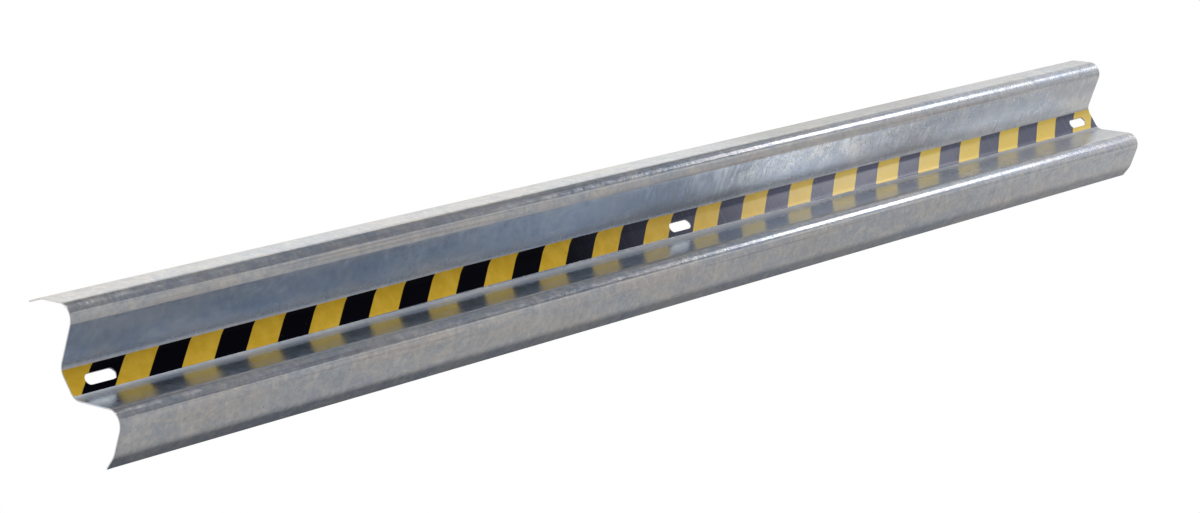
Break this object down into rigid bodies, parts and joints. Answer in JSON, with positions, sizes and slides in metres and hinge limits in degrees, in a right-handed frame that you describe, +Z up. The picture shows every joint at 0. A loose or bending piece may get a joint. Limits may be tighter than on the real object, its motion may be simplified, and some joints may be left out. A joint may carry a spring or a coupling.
{
  "type": "industrial guard rail",
  "caption": "W-section steel guard rail beam, galvanised, with black and yellow hazard tape in its valley and round-ended bolt slots for fixing it to posts",
  "frame": {"origin": "on the flat back face of the valley, at the middle of the beam's length and height, where it bears on the middle post", "axes": "+X along the beam, +Y to the posts, +Z up; the crests and the tape face -Y"},
  "size_m": [3.2, 0.0829, 0.3108],
  "materials": {
    "galvanised_steel": "hot-dip galvanised sheet, soft grey with faint streaks and a fine spangle",
    "hazard_tape": "glossy vinyl tape with diagonal black and yellow stripes"
  },
  "bodies": {
    "root": {"beam": "galvanised_steel", "hazard_tape": "hazard_tape"}
  },
  "joints": []
}
